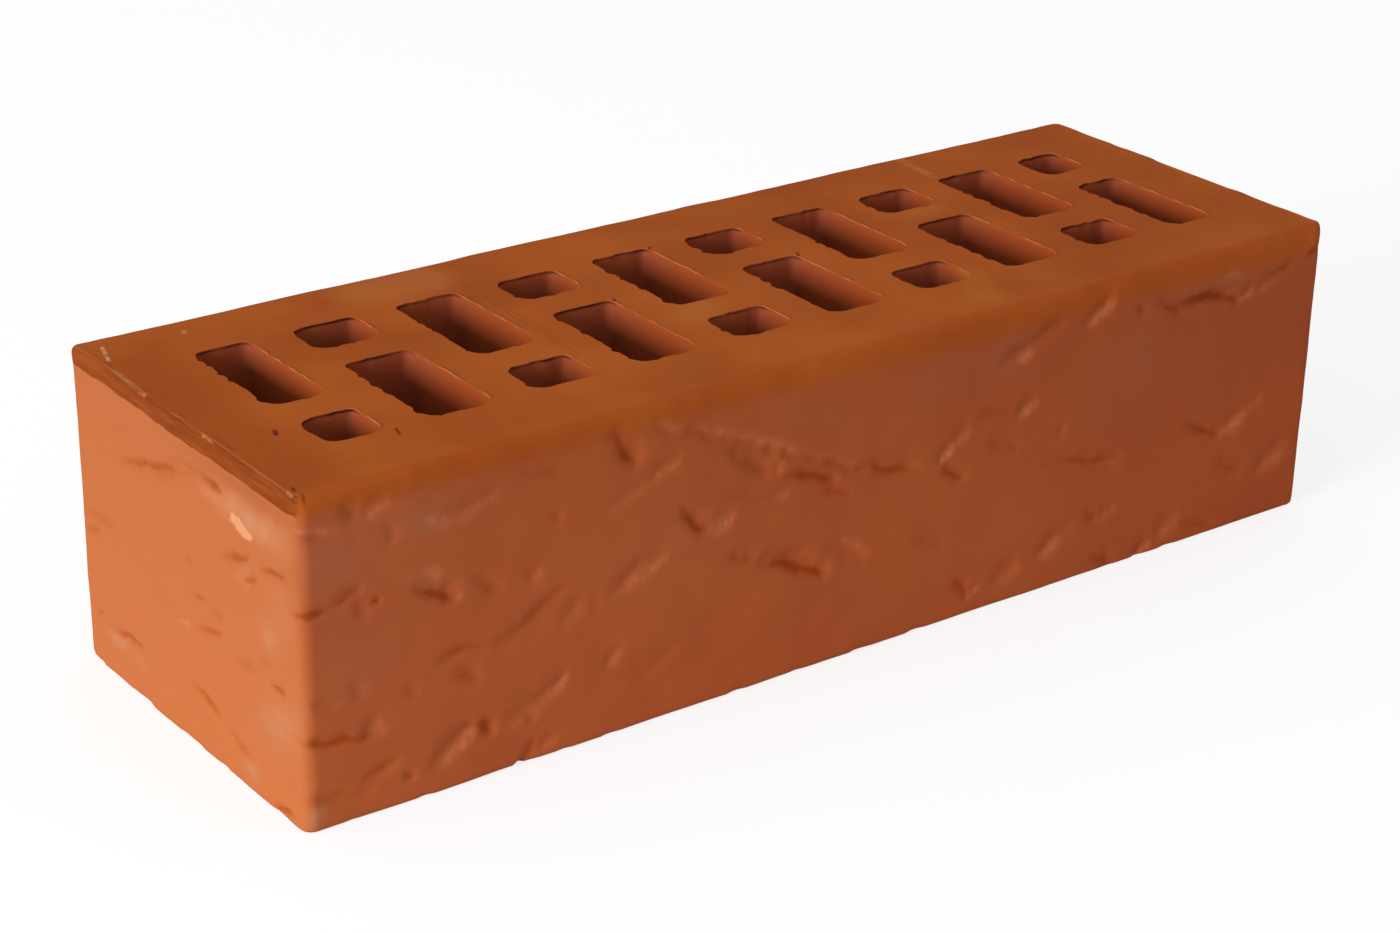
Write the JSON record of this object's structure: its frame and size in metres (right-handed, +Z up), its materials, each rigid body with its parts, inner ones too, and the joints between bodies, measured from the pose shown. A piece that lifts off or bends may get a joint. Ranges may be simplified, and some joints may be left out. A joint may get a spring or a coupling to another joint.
{
  "type": "hollow facing brick",
  "caption": "Hollow clay facing brick with staggered long and short cores from bed to bed, rolled upper edges and bark-textured faces.",
  "frame": {"origin": "centre of the lower bed, at the foot of the brick", "axes": "+X along the stretcher faces, +Y across the bed to the far stretcher face, +Z up through the cores to the upper bed"},
  "size_m": [0.25, 0.085, 0.065],
  "materials": {
    "fired_clay": "matt fired terracotta, bark-textured on the faces, bare and wire-cut on the beds"
  },
  "bodies": {
    "root": {"brick": "fired_clay"}
  },
  "joints": []
}
